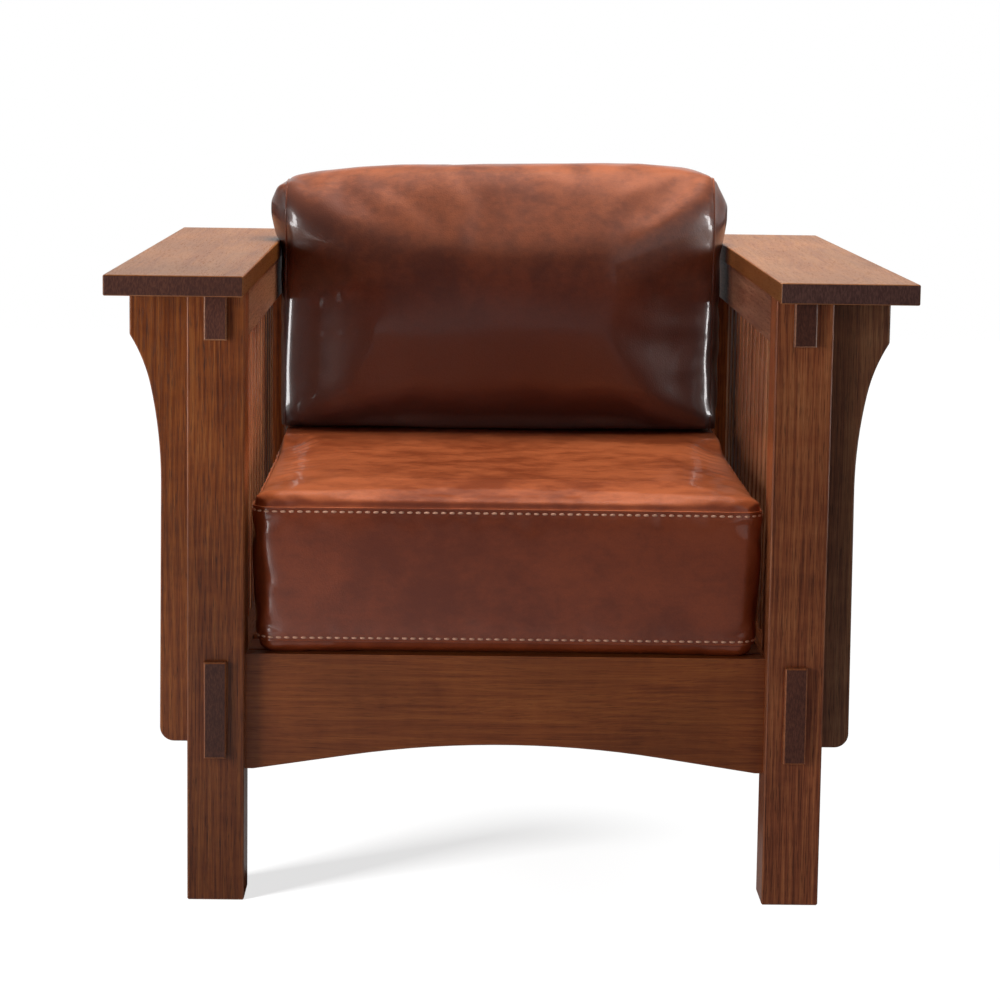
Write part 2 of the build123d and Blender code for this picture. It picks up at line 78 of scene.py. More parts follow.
# Heights at which the leather is pinched beside its seams and stitches, how deep and how wide
SEAT_PINCHES = (
    (SEAT_UPPER_SEAM + 0.0035, 0.0015, 0.0040),
    (SEAT_UPPER_SEAM - 0.0038, 0.0010, 0.0022),
    (SEAT_LOWER_SEAM - 0.0035, 0.0012, 0.0040),
    (SEAT_LOWER_SEAM + 0.0038, 0.0008, 0.0022),
)
STITCH_SIZE = (0.0064, 0.0028, 0.0026)
STITCH_PITCH, STITCH_DROP, STITCH_LIFT = 0.0095, 0.0038, 0.0003
SEAT_LIP, BACK_LIP = 0.0013, 0.0014

# Back cushion
BACK_FLOOR, BACK_CASE_TOP, BACK_FRONT = 0.4712, 0.7900, 0.1480
BACK_SEAMS = (-0.2850, 0.2750)
BACK_SEWN_DEPTH = 0.018
# The block's rear before it leans, and what tells its front from its rear
BACK_REAR, BACK_MIDDLE, BACK_LEAST_REAR = 0.28, 0.2, 0.25
# The case's long edges: whether upper, whether at the front, radius and segments
BACK_EDGES = (
    (True, True, 0.062, 8),
    (True, False, 0.040, 6),
    (False, True, 0.030, 6),
    (False, False, 0.012, 4),
)
# How high the photograph shows the top at places across the chair
BACK_TOP_LINE = (
    (-0.283, 0.7925), (-0.268, 0.797), (-0.242, 0.8025), (-0.189, 0.809), (-0.137, 0.813),
    (-0.005, 0.8155), (0.126, 0.818), (0.179, 0.818), (0.231, 0.814), (0.258, 0.809), (0.274, 0.801),
)
# How far out it shows the front panel's seams at heights, on the right and on the left
BACK_SEAM_LINES = (
    (
        (0.478, -0.2875), (0.507, -0.2865), (0.560, -0.2855), (0.631, -0.2820), (0.712, -0.2785),
        (0.728, -0.2810), (0.754, -0.2862), (0.789, -0.2905),
    ),
    (
        (0.480, 0.2800), (0.514, 0.2725), (0.566, 0.2690), (0.638, 0.2720), (0.719, 0.2750),
        (0.761, 0.2756), (0.796, 0.2760),
    ),
)
# How far out the side panels stand at heights, on the right and on the left
BACK_SIDE_LINES = (
    (
        (0.480, -0.2885), (0.500, -0.2905), (0.700, -0.2908), (0.722, -0.300), (0.745, -0.3055),
        (0.765, -0.305), (0.790, -0.293),
    ),
    (
        (0.480, 0.2820), (0.500, 0.2860), (0.700, 0.2870), (0.722, 0.291), (0.745, 0.2945),
        (0.765, 0.294), (0.790, 0.282),
    ),
)


# Shader writing

class Value:
    """A socket of a shader graph that sums and products can be written with."""

    def __init__(self, graph, socket):
        self.graph, self.socket = graph, socket

    def math(self, operation, *others):
        values = dict(enumerate((self, *others)))
        return self.graph.add("ShaderNodeMath", {"operation": operation}, values)

    def other(self, name):
        return Value(self.graph, self.socket.node.outputs[name])

    def swapped(self, operation, first):
        return self.graph.add("ShaderNodeMath", {"operation": operation}, {0: first, 1: self})

    def __add__(self, other):
        return self.math("ADD", other)

    def __radd__(self, other):
        return self.math("ADD", other)

    def __sub__(self, other):
        return self.math("SUBTRACT", other)

    def __rsub__(self, other):
        return self.swapped("SUBTRACT", other)

    def __mul__(self, other):
        return self.math("MULTIPLY", other)

    def __rmul__(self, other):
        return self.math("MULTIPLY", other)

    def __truediv__(self, other):
        return self.math("DIVIDE", other)

    def __pow__(self, other):
        return self.math("POWER", other)

    def __abs__(self):
        return self.math("ABSOLUTE")

    def rise(self, low, high):
        """0 below low, 1 above high and a smooth step between."""
        return self.graph.add(
            "ShaderNodeMapRange",
            {"interpolation_type": "SMOOTHSTEP"},
            {"Value": self, "From Min": low, "From Max": high},
        )


class Graph:
    """The node tree of one finish, and the one way in which nodes are made."""

    def __init__(self, tree):
        self.tree = tree
        tree.nodes.clear()

    def add(self, kind, settings=None, values=None, out=0):
        node = self.tree.nodes.new(kind)
        for name, value in (settings or {}).items():
            if name == "stops":
                self.set_stops(node.color_ramp, value)
            else:
                setattr(node, name, value)
        for name, value in (values or {}).items():
            if isinstance(value, Value):
                self.tree.links.new(value.socket, node.inputs[name])
            else:
                node.inputs[name].default_value = value
        return Value(self, node.outputs[out]) if node.outputs else node

    def set_stops(self, ramp, stops):
        while len(ramp.elements) < len(stops):
            ramp.elements.new(0.5)
        for element, (place, colour) in zip(ramp.elements, stops):
            element.position, element.color = place, (*colour, 1)

    def stretched(self, vector, factors):
        return self.add("ShaderNodeVectorMath", {"operation": "MULTIPLY"}, {0: vector, 1: factors})

    def cloud(self, vector, scale, detail=2.0, rough=0.5, bend=0.0):
        values = {"Vector": vector, "Scale": scale, "Detail": detail}
        values |= {"Roughness": rough, "Distortion": bend}
        return self.add("ShaderNodeTexNoise", None, values)

    def blend(self, first, second, share, mode="MIX"):
        values = {0: share, 6: first, 7: second}
        return self.add("ShaderNodeMix", {"data_type": "RGBA", "blend_type": mode}, values, out=2)

    def shade(self, colour, factor):
        """A colour times a number that varies over the surface."""
        values = {0: colour, "Scale": factor}
        return self.add("ShaderNodeVectorMath", {"operation": "SCALE"}, values)

    def ramp(self, value, *stops):
        return self.add("ShaderNodeValToRGB", {"stops": stops}, {"Fac": value})

    def bump(self, height, strength, distance):
        values = {"Height": height, "Strength": strength, "Distance": distance}
        return self.add("ShaderNodeBump", None, values)


def finish_graph(name):
    material = bpy.data.materials.new(name)
    material.use_nodes = True
    return material, Graph(material.node_tree)


def surface(graph, **sockets):
    values = {name.replace("_", " "): value for name, value in sockets.items()}
    shader = graph.add("ShaderNodeBsdfPrincipled", None, values)
    graph.add("ShaderNodeOutputMaterial", None, {"Surface": shader})


def rgb(red, green, blue):
    return (red, green, blue, 1.0)


# Wood

GRAIN_TURNS = {
    "up": (0, 0, 0),
    "along": (math.pi / 2, 0, 0),
    "across": (0, -math.pi / 2, 0),
    "leaned": (BACK_LEAN, 0, 0),
}
GRAIN_AXES = {
    "up": (0, 0, 1),
    "along": (0, 1, 0),
    "across": (1, 0, 0),
    "leaned": (0, math.sin(BACK_LEAN), math.cos(BACK_LEAN)),
}
RING_WIDTH = 0.0052
# Stain from the darkest grain to the lightest, along the board and on its ends
FACE_STAIN = (
    (0.34, (0.120, 0.025, 0.0065)),
    (0.50, (0.275, 0.064, 0.0160)),
    (0.62, (0.395, 0.109, 0.0260)),
    (0.78, (0.520, 0.170, 0.0440)),
)
END_STAIN = ((0.2, (0.075, 0.022, 0.014)), (0.8, (0.150, 0.048, 0.028)))
# Pale eased edges: partly rubbed wear, partly a painted highlight along them
RUBBED_AND_HIGHLIT_OAK = rgb(0.46, 0.18, 0.09)
# Multiplied onto the side rails' and spindles' faces away from the seat and at the rear, taking
# their painted bluish shade off
OUTER_UNTINT = rgb(0.60, 0.39, 0.27)

# Each pair's grain, how lively it is, and the tone, gold and cool of its left and its right board
# The left front corbel's low tone with raised gold and cool is a painted shadow of its post; cool
# above 1 elsewhere is painted bluish shade
PAIRED_BOARDS = {
    "arm": ("along", 0.5, (0.98, 1.42, 1.15), (0.88, 1.33, 0.95)),
    "front_post": ("up", 1.3, (0.96, 1.12, 1.5), (0.73, 1.0, 1.0)),
    "rear_post": ("up", 1.2, (0.95, 1.0, 1.0), (0.95, 1.0, 1.0)),
    "side_top_rail": ("along", 1.0, (0.76, 1.75, 2.4), (0.98, 1.70, 2.0)),
    "side_bottom_rail": ("along", 1.0, (1.10, 1.1, 1.2), (0.68, 1.1, 1.0)),
    "side_spindles": ("up", 1.2, (1.26, 1.68, 1.9), (1.56, 1.60, 1.8)),
    "front_corbel": ("up", 1.2, (0.60, 1.5, 1.9), (0.68, 1.03, 0.9)),
    "rear_corbel": ("up", 1.2, (0.95, 1.0, 1.0), (0.95, 1.0, 1.0)),
    "seat_cleat": ("along", 1.0, (1.0, 1.0, 1.0), (1.0, 1.0, 1.0)),
    "pivot_block": ("up", 1.0, (0.95, 1.0, 1.0), (0.95, 1.0, 1.0)),
    "back_stile": ("leaned", 1.2, (0.98, 1.0, 1.0), (0.98, 1.0, 1.0)),
    "clamp_knob": ("across", 1.0, (0.75, 1.0, 1.0), (0.75, 1.0, 1.0)),
}
CURVED_BOARDS = ("front_corbel", "rear_corbel", "clamp_knob", "pivot_block")
# Painted shade (below 1) and painted light (above 1) at each front post's foot
FOOT_PAINTED_SHADES = {"front_post_left": 1.25, "front_post_right": 0.68}
CROSSWISE_BOARDS = (
    "front_rail", "rear_rail", "back_bottom_rail", "back_top_rail", "back_slats",
    *(f"seat_slat_{number}" for number in range(1, 8)),
)
SQUARE_BOARDS = ("back_slats", "back_bottom_rail", "back_top_rail")


class Board(NamedTuple):
    """How one board's grain and stain differ from plain oak, and the shade and light painted on it.
    """

    grain: str
    lively: float = 1.0  # contrast of the grain
    tone: float = 1.0  # strength of the stain
    gold: float = 1.0  # green beside red
    cool: float = 1.0  # blue beside green; above 1 it is painted bluish shade
    heart: float = 0.11  # how far off the tree's heart lies
    sways: float = 0.01  # how far the grain wanders
    end_cool: float = 1.0  # blue of the end grain; above 1 it is painted bluish shade
    edge: float = 1.0  # painted shade on the faces that look left and right
    foot: float = 1.0  # painted shade towards the floor; above 1 it is painted light
    painted_shade_inward: int = 0  # 1 or -1: the faces towards the seat keep the board's painted bluish shade, the faces away from the seat and at the rear are multiplied back towards plain oak
    eased: bool = True  # whether its edges are paled, partly rubbed wear and partly a painted highlight


def tinted(stops, factors):
    """A ramp's colours times a factor for each of red, green and blue."""
    return [
        (place, [part * factor for part, factor in zip(colour, factors)])
        for place, colour in stops
    ]


def oak(name, seed, board):
    """Stained oak: fine streaks and dark pores along the grain, broad bands, darker end grain, and
    painted shade and light where the board asks for it.
    """
    material, graph = finish_graph(name)
    shift = [math.sin(seed * step) * 0.9 for step in (1.7, 2.9, 4.3)]
    place = graph.add("ShaderNodeTexCoord", out="Object")
    normal = place.other("Normal")
    turned = {"Vector": place, "Rotation": GRAIN_TURNS[board.grain]}
    wood = graph.add("ShaderNodeMapping", None, turned)
    moved = graph.add("ShaderNodeMapping", None, {"Vector": wood, "Location": shift})
    sway = graph.cloud(graph.stretched(moved, (1, 1, 0.16)), 9.0, 2.0)
    swayed = {0: moved, 1: (sway - 0.5) * board.sways}
    moved = graph.add("ShaderNodeVectorMath", {"operation": "ADD"}, swayed)

    parts = graph.add("ShaderNodeSeparateXYZ", None, {0: wood})
    side = parts + board.heart * math.cos(seed * 2.1) * 0.4
    depth = parts.other("Y") + board.heart
    radius = (side * side + depth * depth) ** 0.5 + (sway - 0.5) * 0.06
    rings = (radius * (2 * math.pi / RING_WIDTH)).math("SINE") * 0.5 + 0.5
    fine = graph.cloud(graph.stretched(moved, (1, 1, 0.014)), 800.0, 3.0, 0.66)
    streaks = graph.cloud(graph.stretched(moved, (1, 1, 0.018)), 300.0, 3.0, 0.62)
    bands = graph.cloud(graph.stretched(moved, (1, 1, 0.06)), 30.0, 2.0)
    mottle = graph.cloud(graph.stretched(moved, (0.4, 0.4, 1)), 42.0, 3.0, 0.62)
    pores = graph.cloud(graph.stretched(moved, (1, 1, 0.035)), 1250.0, 2.0, 0.6).rise(0.53, 0.68)
    stains = graph.cloud(graph.stretched(moved, (1, 1, 0.5)), 8.0, 3.0, 0.55)

    mixed = rings * 0.05 + fine * 0.34 + streaks * 0.32 + bands * 0.20 + mottle * 0.14
    lightness = (mixed - 0.53) * (1.25 * board.lively) + 0.55
    green = board.tone * board.gold
    colour = graph.ramp(lightness, *tinted(FACE_STAIN, (board.tone, green, green * board.cool)))
    colour = graph.shade(colour, (1.0 - pores * (0.46 * board.lively)) * (0.52 + stains * 0.96))
    # painted shade, and painted light where the factor is above 1, growing towards the floor
    if board.foot != 1:
        height = graph.add("ShaderNodeSeparateXYZ", None, {0: place}, out="Z")
        colour = graph.shade(colour, height.rise(0.02, 0.50) * (1 - board.foot) + board.foot)

    along = {0: normal, 1: GRAIN_AXES[board.grain]}
    facing = graph.add("ShaderNodeVectorMath", {"operation": "DOT_PRODUCT"}, along, out=1)
    end = abs(facing).rise(0.80, 0.95)
    specks = graph.cloud(graph.stretched(moved, (1, 0.25, 1)), 700.0, 2.0, 0.7).rise(0.35, 0.70)
    end_tones = (board.tone, board.tone * board.end_cool ** 0.5, board.tone * board.end_cool)
    end_colour = graph.ramp(specks * 0.6 + bands * 0.4, *tinted(END_STAIN, end_tones))
    colour = graph.blend(colour, end_colour, end)

    if board.eased:
        faces = graph.add("ShaderNodeSeparateXYZ", None, {0: normal})
        widest = abs(faces).math("MAXIMUM", abs(faces.other("Y")))
        # eased edges paled: partly wear, partly a painted edge highlight
        rubbed_and_highlit = 1 - widest.math("MAXIMUM", abs(faces.other("Z"))).rise(0.80, 0.93)
        colour = graph.blend(colour, RUBBED_AND_HIGHLIT_OAK, rubbed_and_highlit * 0.22)
        # painted shade: the faces that look left or right are darkened by the board's edge factor
        colour = graph.shade(colour, 1 - abs(faces).rise(0.80, 0.95) * (1 - board.edge))
        # the board's cool tint is painted bluish shade; the faces away from the seat and at the rear
        # are multiplied back towards plain oak
        if board.painted_shade_inward:
            outer = (faces * board.painted_shade_inward).math("MAXIMUM", faces.other("Y"))
            colour = graph.blend(colour, OUTER_UNTINT, outer.rise(0.80, 0.95), "MULTIPLY")
    height = streaks * 0.25 + fine * 0.2 - pores * 0.55
    surface(
        graph,
        Base_Color=colour,
        Roughness=0.33 + pores * 0.16 + end * 0.10 - bands * 0.06,
        Specular_IOR_Level=0.36,
        Normal=graph.bump(height, 0.35, 0.0003),
    )
    return material


# Leather, thread and metal

# Lighter tan on faces that look up: partly wear where it is sat on, partly painted light from above
WORN_AND_TOP_LIT_TAN = rgb(0.72, 0.197, 0.068)
# Painted shade on the lower part of the back cushion
PAINTED_SHADE_BROWN = rgb(0.156, 0.078, 0.068)


def leather(name, warm, dark, creases, worn, painted_shade_span=None):
    """Glossy saddle leather with a fine pebble: lighter tan where it faces up, as strong as worn
    asks, partly wear and partly painted light from above, and painted shade below a height.
    """
    material, graph = finish_graph(name)
    place = graph.add("ShaderNodeTexCoord", out="Object")
    clouds = graph.cloud(place, 5.5, 3.0, 0.55, 0.6)
    smudges = graph.cloud(place, 24.0, 3.0, 0.6)
    pulls = graph.cloud(graph.stretched(place, creases), 62.0, 4.0, 0.6, 0.7)
    cells = {"Vector": place, "Scale": 640.0}
    pebble = graph.add("ShaderNodeTexVoronoi", {"feature": "SMOOTH_F1"}, cells)
    grit = graph.cloud(place, 1300.0, 2.0)
    flecks = graph.cloud(graph.stretched(place, (0.6, 1, 1)), 110.0, 3.0, 0.65)

    wash = clouds * 0.46 + smudges * 0.26 + flecks * 0.18 + pulls * 0.10
    patches = wash.rise(0.38, 0.63)
    colour = graph.blend(dark, warm, patches)
    upward = graph.add("ShaderNodeSeparateXYZ", None, {0: place.other("Normal")}, out="Z")
    # lighter where the leather faces up: partly wear, partly painted light from above
    worn_and_top_lit = upward.rise(0.35, 0.95) * (patches * 1.3 + 0.35) * worn
    colour = graph.blend(colour, WORN_AND_TOP_LIT_TAN, worn_and_top_lit)
    # painted shade: darker brown below a height
    if painted_shade_span:
        height = graph.add("ShaderNodeSeparateXYZ", None, {0: place}, out="Z")
        colour = graph.blend(colour, PAINTED_SHADE_BROWN, 1 - height.rise(*painted_shade_span))
    colour = graph.shade(colour, 1.08 - pebble * 0.20)
    relief = pulls * 0.45 + pebble * 0.42 + grit * 0.13
    surface(
        graph,
        Base_Color=colour,
        Roughness=0.34 + smudges * 0.10,
        Normal=graph.bump(relief, 0.36, 0.0009),
        Coat_Weight=0.55 + clouds * 0.3,
        Coat_Roughness=0.11,
        Coat_IOR=1.5,
    )
    return material


def thread(name):
    material, graph = finish_graph(name)
    place = graph.add("ShaderNodeTexCoord", out="Object")
    twist = graph.cloud(place, 1500.0, 1.0)
    colour = graph.blend(rgb(0.62, 0.29, 0.18), rgb(0.86, 0.50, 0.35), twist)
    surface(graph, Base_Color=colour, Roughness=0.62, Normal=graph.bump(twist, 0.5, 0.0004))
    return material


def metal(name, colour, worn, rough, turned):
    """Metal with a fine brushed finish, dulled in patches."""
    material, graph = finish_graph(name)
    place = graph.add("ShaderNodeTexCoord", out="Object")
    patches = graph.cloud(place, 60.0, 3.0, 0.6)
    brushed = graph.cloud(graph.stretched(place, turned), 500.0, 2.0)
    mixed = graph.blend(colour, worn, patches.rise(0.42, 0.66))
    surface(
        graph,
        Base_Color=mixed,
        Metallic=1.0,
        Roughness=rough + patches * 0.22 + brushed * 0.08,
        Normal=graph.bump(brushed, 0.15, 0.0002),
    )
    return material


def dress(node, material):
    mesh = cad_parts[node].data
    mesh.materials.clear()
    mesh.materials.append(material)


def paired_board(part, side, grain, lively, tones):
    """The board of one side, with the painted shade that sets an arm's sides, a post's foot and the
    faces of a spindle or top rail apart.
    """
    node = f"{part}_{side}"
    tone, gold, cool = tones
    painted_shade_inward = {"left": 1, "right": -1}[side] if part in ("side_spindles", "side_top_rail") else 0
    return Board(
        grain, lively, tone, gold, cool,
        # the left arm's bluish end grain is painted shade
        end_cool=1.8 if node == "arm_left" else 1.0,
        # the arms' sides get painted shade
        edge=0.62 if part == "arm" else 1.0,
        # a front post's painted shade or painted light at its foot, by its factor
        foot=FOOT_PAINTED_SHADES.get(node, 1.0),
        painted_shade_inward=painted_shade_inward,
        eased=part not in CURVED_BOARDS,
    )


def dress_frame():
    """Give every part of the frame its finish, each board with its own stretch of grain."""
    seed = 1
    for part, (grain, lively, *both) in PAIRED_BOARDS.items():
        for side, tones in zip(SIDES, both):
            seed += 1
            board = paired_board(part, side, grain, lively, tones)
            dress(f"{part}_{side}", oak(f"oak_{part}_{side}", seed, board))
    for node in CROSSWISE_BOARDS:
        seed += 1
        tone = 0.79 if node == "front_rail" else 0.92
        eased = node not in SQUARE_BOARDS
        board = Board("across", lively=0.62, tone=tone, heart=0.05, sways=0.06, eased=eased)
        dress(node, oak(f"oak_{node}", seed, board))
    brass = metal("aged_brass", rgb(0.62, 0.43, 0.17), rgb(0.26, 0.17, 0.08), 0.26, (1, 0.1, 1))
    steel = metal("plain_steel", rgb(0.52, 0.51, 0.50), rgb(0.34, 0.32, 0.30), 0.24, (0.1, 1, 1))
    for finish, parts in ((brass, BRASS_PARTS), (steel, STEEL_PARTS)):
        for part in parts:
            for side in SIDES:
                dress(f"{part}_{side}", finish)


# Shaping helpers

def make_active(piece):
    bpy.context.view_layer.objects.active = piece


def select_only(piece):
    bpy.ops.object.select_all(action="DESELECT")
    piece.select_set(True)
    make_active(piece)


def cover_with(piece, material):
    piece.data.materials.clear()
    piece.data.materials.append(material)
    select_only(piece)
    bpy.ops.object.shade_smooth()


def start_block(name, low, high):
    """A block between two corners, its place in its mesh, ready to be shaped."""
    low, high = Vector(low), Vector(high)
    bpy.ops.object.select_all(action="DESELECT")
    bpy.ops.mesh.primitive_cube_add(size=1, location=(low + high) / 2, scale=high - low)
    block = bpy.context.object
    block.name = name
    bpy.ops.object.transform_apply(location=True, rotation=True, scale=True)
    return block


def round_edges(block, wanted, radius, segments=6):
    """Round the edges that a test on their two ends picks."""
    make_active(block)
    bpy.ops.object.mode_set(mode="EDIT")
    bpy.ops.mesh.select_mode(type="EDGE")
    bpy.ops.mesh.select_all(action="DESELECT")
    shape = bmesh.from_edit_mesh(block.data)
    for edge in shape.edges:
        edge.select = wanted(edge.verts[0].co, edge.verts[1].co)
    bmesh.update_edit_mesh(block.data)
    bpy.ops.mesh.bevel(offset=radius, segments=segments, affect="EDGES")
    bpy.ops.object.mode_set(mode="OBJECT")


def apply_modifier(piece, kind, **settings):
    modifier = piece.modifiers.new(kind.lower(), kind)
    for name, value in settings.items():
        setattr(modifier, name, value)
    make_active(piece)
    bpy.ops.object.modifier_apply(modifier=modifier.name)


def places(piece):
    count = len(piece.data.vertices)
    flat = np.zeros(count * 3)
    piece.data.vertices.foreach_get("co", flat)
    return flat.reshape(-1, 3)


def put_places(piece, points):
    piece.data.vertices.foreach_set("co", points.astype(np.float32).ravel())
    piece.data.update()


def normals_of(piece):
    flat = np.zeros(len(piece.data.vertices) * 3)
    piece.data.vertices.foreach_get("normal", flat)
    return flat.reshape(-1, 3)


def smooth_step(value, low, high):
    share = np.clip((value - low) / (high - low), 0, 1)
    return share * share * (3 - 2 * share)


def ridge(distance, width):
    return np.exp(-(distance / width) ** 2)


def smoothed_part(piece, chosen, rounds):
    """Smooth the chosen points only."""
    part = piece.vertex_groups.new(name="smoothed")
    part.add([int(n) for n in np.nonzero(chosen)[0]], 1.0, "REPLACE")
    apply_modifier(piece, "SMOOTH", factor=0.5, iterations=rounds, vertex_group="smoothed")
    piece.vertex_groups.clear()


def stuff(piece, held, reach, pressure):
    """Blow the case up: held points stay, and the others move by no more than their reach."""
    rest = places(piece)
    group = piece.vertex_groups.new(name="sewn")
    group.add([int(n) for n in np.nonzero(held)[0]], 1.0, "REPLACE")
    cloth = piece.modifiers.new("stuffing", "CLOTH")
    cloth.settings.quality = 5
    cloth.settings.mass = 0.3
    cloth.settings.tension_stiffness = 20
    cloth.settings.compression_stiffness = 20
    cloth.settings.shear_stiffness = 8
    cloth.settings.bending_stiffness = 1.2
    cloth.settings.use_pressure = True
    cloth.settings.uniform_pressure_force = pressure
    cloth.settings.shrink_min = CASE_LOOSENESS
    cloth.settings.effector_weights.gravity = 0
    cloth.settings.vertex_group_mass = "sewn"
    cloth.settings.pin_stiffness = 1.0
    cloth.collision_settings.use_self_collision = False
    cloth.point_cache.frame_start, cloth.point_cache.frame_end = 1, STUFFING_FRAMES
    for number in range(1, STUFFING_FRAMES + 1):
        scene.frame_set(number)
    make_active(piece)
    bpy.ops.object.modifier_apply(modifier=cloth.name)
    scene.frame_set(1)
    piece.vertex_groups.clear()
    moved = places(piece) - rest
    length = np.linalg.norm(moved, axis=1)
    share = np.minimum(1.0, reach / np.maximum(length, 1e-9))
    put_places(piece, rest + moved * share[:, None])


def soften(piece, rounds):
    apply_modifier(piece, "SMOOTH", factor=0.5, iterations=rounds)


# Seams and stitches

def ring_path(half_x, low_y, high_y, corner, step):
    """Points and outward directions round a rounded rectangle, evenly spaced."""
    inner_x, front_y, rear_y = half_x - corner, low_y + corner, high_y - corner
    runs = [
        ((half_x, front_y), (half_x, rear_y), (inner_x, rear_y), 0),
        ((inner_x, high_y), (-inner_x, high_y), (-inner_x, rear_y), 90),
        ((-half_x, rear_y), (-half_x, front_y), (-inner_x, front_y), 180),
        ((-inner_x, low_y), (inner_x, low_y), (inner_x, front_y), 270),
    ]
    points = []
    for start, end, centre, angle in runs:
        start, end = Vector(start), Vector(end)
        out = Vector((math.cos(math.radians(angle)), math.sin(math.radians(angle))))
        count = max(2, round((end - start).length / step))
        points += [(start.lerp(end, n / count), out) for n in range(count)]
        turns = max(2, round(corner * math.pi / 2 / step))
        for n in range(turns):
            turn = math.radians(angle + 90 * n / turns)
            out = Vector((math.cos(turn), math.sin(turn)))
            points.append((Vector(centre) + out * corner, out))
    return points


def tree_of(piece):
    points = [vertex.co.copy() for vertex in piece.data.vertices]
    return BVHTree.FromPolygons(points, [tuple(face.vertices) for face in piece.data.polygons])


def landed(tree, start, direction):
    """Where a point thrown at a cushion lands, and the surface's direction there."""
    place, normal, _, _ = tree.ray_cast(start, direction)
    return (place, normal) if place is not None else None


def welt(name, points, radius, material):
    """A thin sewn lip along closed points."""
    curve = bpy.data.curves.new(name, "CURVE")
    curve.dimensions = "3D"
    curve.bevel_depth, curve.bevel_resolution = radius, 2
    line = curve.splines.new("POLY")
    line.points.add(len(points) - 1)
    for target, point in zip(line.points, points):
        target.co = (*point, 1)
    line.use_cyclic_u = True
    lip = bpy.data.objects.new(name, curve)
    scene.collection.objects.link(lip)
    select_only(lip)
    bpy.ops.object.convert(target="MESH")
    lip = bpy.context.object
    cover_with(lip, material)
    return lip


def one_stitch(length, width, height):
    """A plump stitch lying along X, its ends dipping into the leather."""
    bpy.ops.object.select_all(action="DESELECT")
    lying = (0, math.pi / 2, 0)
    bpy.ops.mesh.primitive_uv_sphere_add(segments=8, ring_count=6, radius=0.5, rotation=lying)
    stitch = bpy.context.object
    bpy.ops.object.transform_apply(location=True, rotation=True, scale=True)
    points = places(stitch)
    points[:, 0] = np.sign(points[:, 0]) * np.abs(points[:, 0] * 2) ** 0.7 * 0.5
    points[:, 2] -= 0.9 * points[:, 0] ** 2
    put_places(stitch, points * np.array((length, width, height)))
    return stitch


def stitch_row(name, path, material):
    """Copies of one stitch laid along a closed path of places and surface directions."""
    total, lengths = 0.0, []
    for (start, _), (end, _) in zip(path, path[1:] + path[:1]):
        lengths.append((end - start).length)
        total += lengths[-1]
    count = round(total / STITCH_PITCH)
    model = one_stitch(*STITCH_SIZE)
    copies, walked, index = [], 0.0, 0
    for number in range(count):
        goal = total * number / count
        while walked + lengths[index] < goal:
            walked += lengths[index]
            index += 1
        (start, out), (end, _) = path[index], path[(index + 1) % len(path)]
        run = (end - start).normalized()
        place = start + run * (goal - walked)
        up = (out - run * out.dot(run)).normalized()
        turn = Matrix((run, up.cross(run), up)).transposed().to_4x4()
        copy = model.copy()
        copy.data = model.data.copy()
        copy.data.transform(Matrix.Translation(place + up * STITCH_LIFT) @ turn)
        scene.collection.objects.link(copy)
        copies.append(copy)
    bpy.data.objects.remove(model)
    bpy.ops.object.select_all(action="DESELECT")
    for copy in copies:
        copy.select_set(True)
    make_active(copies[0])
    bpy.ops.object.join()
    row = bpy.context.object
    row.name = name
    cover_with(row, material)
    return row


# Seat cushion

def seat_half_width(height):
    """The seat cushion is a little narrower at its foot."""
    return SEAT_FOOT_HALF + SEAT_SPREAD * smooth_step(height, SEAT_LOWER_SEAM, SEAT_UPPER_SEAM)


def seat_case():
    """The sewn case before it is filled, and its points."""
    low = (-SEAT_CASE_HALF, SEAT_FRONT, SEAT_FLOOR)
    high = (SEAT_CASE_HALF, SEAT_REAR, SEAT_CASE_TOP)
    cover = start_block("seat_cushion_cover", low, high)
    round_edges(cover, lambda a, b: abs(a.z - b.z) > LONG_EDGE, SEAT_CORNER, 8)
    round_edges(cover, lambda a, b: min(a.z, b.z) > SEAT_CASE_TOP - EDGE_PLAY, 0.0135, 6)
    round_edges(cover, lambda a, b: max(a.z, b.z) < SEAT_FLOOR + EDGE_PLAY, 0.0150, 5)
    apply_modifier(cover, "REMESH", mode="VOXEL", voxel_size=CASE_VOXEL, use_smooth_shade=True)
    points = places(cover)
    points[:, 0] *= seat_half_width(points[:, 2]) / SEAT_CASE_HALF
    put_places(cover, points)
    return cover, points


def fill_seat(cover, rest):
    """Stuff the case between its two sewn seams, most in the middle of the top."""
    across, along, height = rest.T
    from_side = seat_half_width(height) - np.abs(across)
    from_edge = np.minimum.reduce([from_side, along - SEAT_FRONT, SEAT_REAR - along])
    on_seam = np.abs(height - SEAT_UPPER_SEAM) < 0.004
    on_seam |= np.abs(height - SEAT_LOWER_SEAM) < 0.004
    held = on_seam & (from_edge < 0.004)
    top = smooth_step(height, SEAT_UPPER_SEAM, SEAT_UPPER_SEAM + 0.012)
    from_rim = np.minimum(from_side, along - SEAT_FRONT)
    slope = np.interp(along, (-0.10, 0.10), (0.13, 0.035))
    reach = 0.0022 + top * (0.0005 + 0.0085 * smooth_step(from_rim / slope, 0, 1))
    reach = np.where(height < SEAT_LOWER_SEAM, 0.0012, reach)
    stuff(cover, held, reach, pressure=4.0)
    soften(cover, 3)


